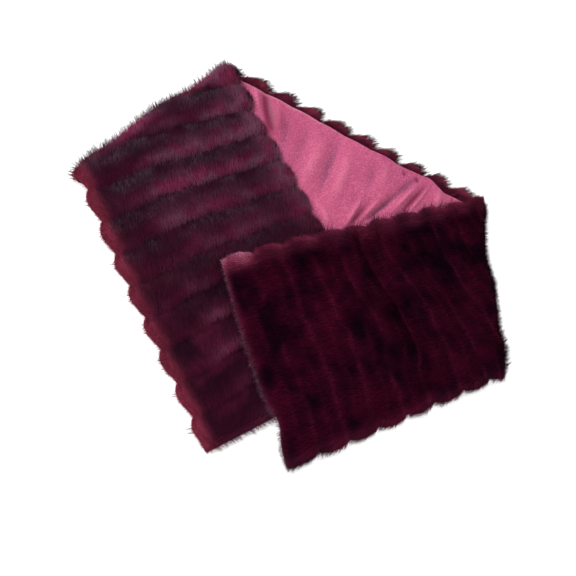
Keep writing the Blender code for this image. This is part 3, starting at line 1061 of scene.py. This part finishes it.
class Tree:
    """A geometry node tree with named inputs, and short ways to make its nodes."""

    def __init__(self, name):
        self.group = bpy.data.node_groups.new(name, "GeometryNodeTree")
        self.group.is_modifier = True
        face = self.group.interface
        face.new_socket("Geometry", in_out="OUTPUT", socket_type="NodeSocketGeometry")
        face.new_socket("Geometry", in_out="INPUT", socket_type="NodeSocketGeometry")
        self.entry = self.group.nodes.new("NodeGroupInput")
        self.exit = self.group.nodes.new("NodeGroupOutput")

    def ask(self, name, value=None, kind="NodeSocketFloat"):
        socket = self.group.interface.new_socket(name, in_out="INPUT", socket_type=kind)
        if value is not None:
            socket.default_value = value
        return self.entry.outputs[name]

    def node(self, kind, inputs=None, **settings):
        made = self.group.nodes.new(kind)
        for key, value in settings.items():
            setattr(made, key, value)
        for key, value in (inputs or {}).items():
            socket = made.inputs[key]
            if isinstance(value, bpy.types.NodeSocket):
                self.group.links.new(value, socket)
            else:
                socket.default_value = value
        return made

    def math(self, operation, *values):
        return self.node("ShaderNodeMath", dict(enumerate(values)), operation=operation).outputs[0]

    def compare(self, operation, first, second):
        return self.node("FunctionNodeCompare", {0: first, 1: second}, operation=operation).outputs[0]

    def vector(self, operation, first, second=(0.0, 0.0, 0.0)):
        return self.node("ShaderNodeVectorMath", {0: first, 1: second},
                         operation=operation).outputs["Vector"]

    def scaled(self, vector, factor):
        return self.node("ShaderNodeVectorMath", {0: vector, "Scale": factor},
                         operation="SCALE").outputs["Vector"]

    def read(self, name, kind="FLOAT"):
        return self.node("GeometryNodeInputNamedAttribute", {"Name": name}, data_type=kind).outputs[0]

    def keep(self, geometry, name, value):
        """Store a number on each point, under a name that the finish reads."""
        return self.node("GeometryNodeStoreNamedAttribute",
                         {"Geometry": geometry, "Name": name, "Value": value},
                         data_type="FLOAT", domain="POINT").outputs[0]

    def chance(self, low, high, seed):
        return self.node("FunctionNodeRandomValue", {2: low, 3: high, "Seed": seed},
                         data_type="FLOAT").outputs[1]

    def position(self):
        return self.node("GeometryNodeInputPosition").outputs[0]

    def waver(self, scale, share):
        """A slow wander from place to place, as a vector."""
        noise = self.node("ShaderNodeTexNoise",
                          {"Vector": self.position(), "Scale": scale, "Detail": 1.0})
        return self.scaled(self.vector("SUBTRACT", noise.outputs["Color"], (0.5, 0.5, 0.5)), share)


def make_pile_tree():
    """Fine tapered hairs over a surface, combed along its nap and pointed a little away from it."""
    tree = Tree("combed_pile")
    surface = tree.entry.outputs["Geometry"]
    density = tree.ask("Density", 1.0e6)
    seed = tree.ask("Seed", 1, "NodeSocketInt")
    length = tree.ask("Hair Length", 0.013)
    thick = tree.ask("Hair Thickness", 0.0003)
    raised = tree.ask("Raised", 0.35)
    scatter = tree.ask("Scatter", 0.25)
    station_from = tree.ask("Station From", 0.0)
    station_to = tree.ask("Station To", 2.0)
    hug = tree.ask("Hug Surface", 1.0)
    edge_only = tree.ask("Edge Only", 0.0)
    dark_tips = tree.ask("Dark Tips", 0.0)
    material = tree.ask("Material", kind="NodeSocketMaterial")

    # Where the hairs grow
    station = tree.read("station")
    past_start = tree.compare("GREATER_EQUAL", station, station_from)
    before_end = tree.compare("LESS_THAN", station, station_to)
    in_range = tree.node("FunctionNodeBooleanMath", {0: past_start, 1: before_end},
                         operation="AND").outputs[0]
    thinned = tree.math("MULTIPLY", tree.math("SUBTRACT", 1.0, tree.read("fringe")), edge_only)
    share = tree.math("MULTIPLY", tree.math("SUBTRACT", 1.0, thinned), tree.read("cover"))
    share = tree.math("MULTIPLY", tree.math("MULTIPLY", share, density), in_range)
    scattered = tree.node("GeometryNodeDistributePointsOnFaces",
                          {"Mesh": surface, "Density": share, "Seed": seed},
                          distribute_method="RANDOM")

    # Which way each points
    nap = tree.read("nap", "FLOAT_VECTOR")
    normal = scattered.outputs["Normal"]
    own = tree.node("FunctionNodeRandomValue",
                    {0: (-0.5, -0.5, -0.5), 1: (0.5, 0.5, 0.5), "Seed": 11},
                    data_type="FLOAT_VECTOR").outputs[0]
    into = tree.node("ShaderNodeVectorMath", {0: nap, 1: normal},
                     operation="DOT_PRODUCT").outputs["Value"]
    way = tree.vector("SUBTRACT", nap, tree.scaled(normal, tree.math("MULTIPLY", into, hug)))
    way = tree.vector("ADD", way, tree.scaled(normal, raised))
    way = tree.vector("ADD", way, tree.waver(CLUMP_SCALE, CLUMP_SHARE))
    way = tree.vector("ADD", way, tree.waver(SWEEP_SCALE, SWEEP_SHARE))
    way = tree.vector("ADD", way, tree.scaled(own, scatter))
    turned = tree.node("FunctionNodeAlignRotationToVector",
                       {"Vector": tree.vector("NORMALIZE", way)}, axis="Z").outputs[0]

    # A needle for each hair, with its own length
    points = tree.keep(scattered.outputs["Points"], "tint", tree.chance(0.0, 1.0, 5))
    points = tree.keep(points, "dark_tip", dark_tips)
    needle = tree.node("GeometryNodeMeshCone",
                       {"Vertices": 3, "Side Segments": 1, "Fill Segments": 1,
                        "Radius Top": 0.0, "Radius Bottom": 1.0, "Depth": 1.0},
                       fill_type="NGON").outputs["Mesh"]
    up = tree.node("ShaderNodeSeparateXYZ", {0: tree.position()}).outputs["Z"]
    needle = tree.keep(needle, "along", up)
    own_length = tree.math("MULTIPLY", length, tree.chance(SHORTEST_HAIR, LONGEST_HAIR, 7))
    own_length = tree.math("MULTIPLY", own_length, tree.math("SUBTRACT", 1.0, tree.read("short")))
    size = tree.node("ShaderNodeCombineXYZ", {0: thick, 1: thick, 2: own_length}).outputs[0]
    hairs = tree.node("GeometryNodeInstanceOnPoints",
                      {"Points": points, "Instance": needle, "Rotation": turned,
                       "Scale": size}).outputs[0]
    real = tree.node("GeometryNodeRealizeInstances", {"Geometry": hairs}).outputs[0]

    # Tips that would pass through the table turn up from it
    spot = tree.node("ShaderNodeSeparateXYZ", {0: tree.position()})
    turned_up = tree.math("MULTIPLY_ADD", spot.outputs["Z"], -TURNED_UP, LEAST_HEIGHT)
    height = tree.math("MAXIMUM", spot.outputs["Z"], turned_up)
    above = tree.node("ShaderNodeCombineXYZ",
                      {0: spot.outputs["X"], 1: spot.outputs["Y"], 2: height}).outputs[0]
    real = tree.node("GeometryNodeSetPosition", {"Geometry": real, "Position": above}).outputs[0]
    done = tree.node("GeometryNodeSetMaterial", {"Geometry": real, "Material": material})
    tree.group.links.new(done.outputs[0], tree.exit.inputs[0])
    return tree.group


def comb(name, surface, tree, **inputs):
    """Grow hairs on a surface with the pile tree, and keep them as a plain mesh."""
    modifier = surface.modifiers.new("pile", "NODES")
    modifier.node_group = tree
    for item in tree.interface.items_tree:
        if item.in_out == "INPUT" and item.name in inputs:
            modifier[item.identifier] = inputs[item.name]
    graph = bpy.context.evaluated_depsgraph_get()
    grown = bpy.data.meshes.new_from_object(
        surface.evaluated_get(graph), preserve_all_data_layers=True, depsgraph=graph)
    surface.modifiers.remove(modifier)
    grown.name = name
    piece = bpy.data.objects.new(name, grown)
    bpy.context.scene.collection.objects.link(piece)
    return piece


def mark_fringe(surface, near_edge, way_at=None):
    """Store where the long hairs grow, and comb them all one way where way_at gives it."""
    mesh = surface.data
    fringe = mesh.attributes.get("fringe") or mesh.attributes.new("fringe", "FLOAT", "POINT")
    station = mesh.attributes["station"].data
    reach = mesh.attributes["reach"].data
    for index in range(len(mesh.vertices)):
        fringe.data[index].value = near_edge(station[index].value, reach[index].value)
        if way_at is not None:
            mesh.attributes["nap"].data[index].vector = way_at(reach[index].value)
            mesh.attributes["short"].data[index].value = 0.0


def near_strip_edge(station, reach):
    lower = fall(reach, lower_edge(station), FRINGE_WIDTH)
    upper = fall(upper_edge(station), reach, FRINGE_WIDTH)
    return max(lower, upper)


def left_fringe(station, reach):
    return max(near_strip_edge(station, reach), 0.4 * fall(station, 0.0, 0.008))


def right_fringe(station, reach):
    return max(near_strip_edge(station, reach), rise(station - LENGTH, -0.014, 0.012))


def past_fold(past):
    """1 round the outer side of a fold, by the distance past its crest."""
    return rise(past, 0.006, 0.006) * fall(past, 0.036, 0.008)


def left_fold_only(station, reach):
    """1 round the left fold, and at the outer edge of each lower scallop's crest."""
    share = (station / RIB_PITCH) % 1.0
    scallop = fall(reach, lower_edge(station), 0.006) * bump(share, 0.70, 0.30)
    return max(past_fold(station - left_fold_station(reach)), 0.9 * scallop * (station < 0.41))


def right_fold_only(station, reach):
    """1 round the right fold, and in tufts along the edge that lies on the lining."""
    share = (station / RIB_PITCH + 0.3 * math.sin(70.0 * station)) % 1.0
    tuft = fall(upper_edge(station), reach, 0.006) * bump(share, 0.45, 0.42)
    on_lining = rise(station, 1.13, 0.04) * fall(station, 1.46, 0.04)
    return max(past_fold(right_fold_station(reach) - station), 0.95 * tuft * on_lining)


def spread_way(stretch, onward, sideways, upward):
    """One direction for a whole run of hairs, given along and across a stretch."""
    way = stretch.along * onward + stretch.across * sideways
    return Vector((way.x, way.y, upward)).normalized()


def flick_only(station, reach):
    """1 at the outer edge of each loose scallop, over its half towards the right fold."""
    share = (station / RIB_PITCH) % 1.0
    return fall(upper_edge(station), reach, 0.007) * rise(share, 0.25, 0.35)


# The layers
left_rows = stations(0.0, LEFT_FOLD_UPPER, TOP_ROWS_PER_RIB, True, False)
fur_left = top_stretch("left_undercoat", LEFT, left_rows, TOP_COLUMNS, left_fold_station,
                       left_fold_reach, left_base, 0.0, 1, LEFT_LOOK)
right_rows = stations(RIGHT_FOLD_UPPER, LENGTH, TOP_ROWS_PER_RIB, False, True)
fur_right = top_stretch("right_undercoat", RIGHT, list(reversed(right_rows)), TOP_COLUMNS,
                        right_fold_top, right_fold_reach, right_base, LENGTH, -1, RIGHT_LOOK)
middle_rows = stations(LEFT_FOLD_LOWER, RIGHT_FOLD_LOWER, MIDDLE_ROWS_PER_RIB, False, False)
fur_middle = middle_layer("middle_undercoat", middle_rows, lambda s: edge_reaches(s, MIDDLE_COLUMNS),
                          edge_distances(MIDDLE_COLUMNS), pressed_heights)
lining_rows = stations(LEFT_FOLD_LOWER, RIGHT_FOLD_LOWER, LINING_ROWS_PER_RIB, False, False)
lining = middle_layer("satin_lining", lining_rows, lining_reaches,
                      [0.0] * (LINING_COARSE_COLUMNS + LINING_FINE_COLUMNS + 1), lining_heights)

left_hair = left_fur("left_fur")
right_hair = right_fur("right_fur")
middle_hair = middle_fur("middle_fur")
fur_left.data.materials.append(undercoat(
    "left_undercoat", (0.014, 0.003, 0.008), (0.040, 0.006, 0.018), (0.200, 0.024, 0.052)))
fur_right.data.materials.append(undercoat(
    "right_undercoat", (0.006, 0.001, 0.003), (0.018, 0.0016, 0.006), (0.160, 0.020, 0.050)))
fur_middle.data.materials.append(undercoat(
    "middle_undercoat", (0.020, 0.002, 0.007), (0.060, 0.006, 0.018), (0.060, 0.006, 0.018)))
lining.data.materials.append(satin_lining("satin_lining"))

mark_fringe(fur_left, left_fringe)
mark_fringe(fur_right, right_fringe)
mark_fringe(fur_middle, near_strip_edge)

pile_tree = make_pile_tree()
pile = []


def grow(name, surface, material, seed, density, length, thick, raised, scatter,
         first=0.0, last=2.0, **more):
    """Comb a run of hairs between two stations, and keep it with the surface that carries it."""
    hairs = comb(name, surface, pile_tree, **{
        "Density": density, "Seed": seed, "Hair Length": length, "Hair Thickness": thick,
        "Raised": raised, "Scatter": scatter, "Station From": first, "Station To": last,
        "Material": material, **more})
    pile.append((surface, hairs))


FINE_PILE = {"density": 590000.0, "length": 0.0130, "thick": 0.00029, "raised": 0.28, "scatter": 0.34}
PRESSED_HAIRS = {"density": 620000.0, "length": 0.0135, "thick": 0.00042, "raised": 0.30, "scatter": 0.7}
GUARD_HAIRS = {"density": 42000.0, "length": 0.0170, "thick": 0.00042, "raised": 0.60, "scatter": 0.60}
FINE_RUNS = (
    ("left_pile_low", fur_left, left_hair, 3, 0.0, 0.24),
    ("left_pile_mid", fur_left, left_hair, 4, 0.24, 0.41),
    ("left_pile_high", fur_left, left_hair, 9, 0.41, 0.70),
    ("right_pile_fold", fur_right, right_hair, 5, 0.90, 1.37),
    ("right_pile_end", fur_right, right_hair, 6, 1.37, 1.70),
)
for *run, first, last in FINE_RUNS:
    grow(*run, **FINE_PILE, first=first, last=last)
grow("middle_pile", fur_middle, middle_hair, 8, **PRESSED_HAIRS, first=0.56, last=1.10)
long_hairs = {"Edge Only": 1.0, "Dark Tips": 1.0}
grow("left_guard_hairs", fur_left, left_hair, 21, **GUARD_HAIRS, **long_hairs)
grow("right_guard_hairs", fur_right, right_hair, 22, **GUARD_HAIRS, **long_hairs)

# Fringes past the folds and the scallops, each combed its own way
left_ways = spread_way(LEFT, 0.25, -1.0, 0.10), spread_way(LEFT, 1.0, 0.05, 0.10)
right_ways = spread_way(RIGHT, -0.60, 0.80, 0.10), spread_way(RIGHT, -1.0, 0.35, 0.10)
middle_way = spread_way(MIDDLE, 0.75, 0.70, 0.12)
mark_fringe(fur_left, left_fold_only, lambda reach: left_ways[0 if reach < CORNER_FRINGE else 1])
mark_fringe(fur_right, right_fold_only,
            lambda reach: right_ways[0 if reach > WIDTH - TOP_CORNER_FRINGE else 1])
mark_fringe(fur_middle, flick_only, lambda reach: middle_way)
FRINGES = (
    ("left_fold_fringe", fur_left, left_hair, 31, 105000.0, 0.0200, 0.00050),
    ("right_fold_fringe", fur_right, right_hair, 32, 170000.0, 0.0185, 0.00060),
    ("middle_flicks", fur_middle, middle_hair, 33, 700000.0, 0.0240, 0.00062),
)
for fringe in FRINGES:
    grow(*fringe, raised=0.15, scatter=0.45, **long_hairs, **{"Hug Surface": 0.0})

for surface, node in ((fur_left, "fur_left"), (fur_right, "fur_right"), (fur_middle, "fur_middle")):
    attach(surface, "root")
    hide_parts(node)
    for carrier, hairs in pile:
        if carrier is surface:
            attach(hairs, "root")
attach(lining, "root")
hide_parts("lining_middle")

# Floor
floor_mesh = bpy.data.meshes.new("floor")
floor_build = bmesh.new()
bmesh.ops.create_grid(floor_build, x_segments=2, y_segments=2, size=FLOOR_SIZE)
floor_build.to_mesh(floor_mesh)
floor_build.free()
floor = bpy.data.objects.new("floor", floor_mesh)
bpy.context.scene.collection.objects.link(floor)
floor_finish = Finish("pale_floor")
floor_finish.shader.inputs["Emission Color"].default_value = (1.0, 1.0, 1.0, 1.0)
floor_finish.shader.inputs["Emission Strength"].default_value = FLOOR_GLOW
floor_mesh.materials.append(floor_finish.finished(FLOOR_GREY, 0.9, 0.1))

# Light
world = bpy.data.worlds.new("soft_room")
world.use_nodes = True
background = world.node_tree.nodes["Background"]
background.inputs["Color"].default_value = (1.0, 1.0, 1.0, 1.0)
background.inputs["Strength"].default_value = ROOM_GLOW
bpy.context.scene.world = world


def softbox(name, place, size, power):
    """A square lamp that faces the middle of the stole."""
    lamp = bpy.data.lights.new(name, "AREA")
    lamp.shape = "SQUARE"
    lamp.size = size
    lamp.energy = power
    box = bpy.data.objects.new(name, lamp)
    box.location = place
    box.rotation_euler = (-Vector(place)).to_track_quat("-Z", "Y").to_euler()
    bpy.context.scene.collection.objects.link(box)


softbox("window_light", (-1.5, 1.2, 1.5), 0.9, 60.0)
softbox("fill_light", (1.2, -1.4, 2.0), 1.8, 12.0)

# Camera
side = Vector((math.cos(CAMERA_TURN), -math.sin(CAMERA_TURN), 0.0))
lean = Vector((math.sin(CAMERA_TURN) * math.cos(CAMERA_TILT),
               math.cos(CAMERA_TURN) * math.cos(CAMERA_TILT), math.sin(CAMERA_TILT)))
look = Vector((math.sin(CAMERA_TILT) * math.sin(CAMERA_TURN),
               math.sin(CAMERA_TILT) * math.cos(CAMERA_TURN), -math.cos(CAMERA_TILT)))
right_way = math.cos(CAMERA_TURN) * side + math.sin(CAMERA_TURN) * lean
up_way = math.cos(CAMERA_TURN) * lean - math.sin(CAMERA_TURN) * side
camera_data = bpy.data.cameras.new("camera")
camera_data.lens = CAMERA_LENS
camera_data.sensor_width = CAMERA_SENSOR
camera_data.clip_start = CAMERA_NEAREST
camera = bpy.data.objects.new("camera", camera_data)
bpy.context.scene.collection.objects.link(camera)
turned = Matrix((right_way, up_way, -look)).transposed().to_4x4()
camera.matrix_world = Matrix.Translation(CAMERA_PLACE) @ turned
bpy.context.scene.camera = camera
bpy.context.scene.view_settings.view_transform = "Standard"
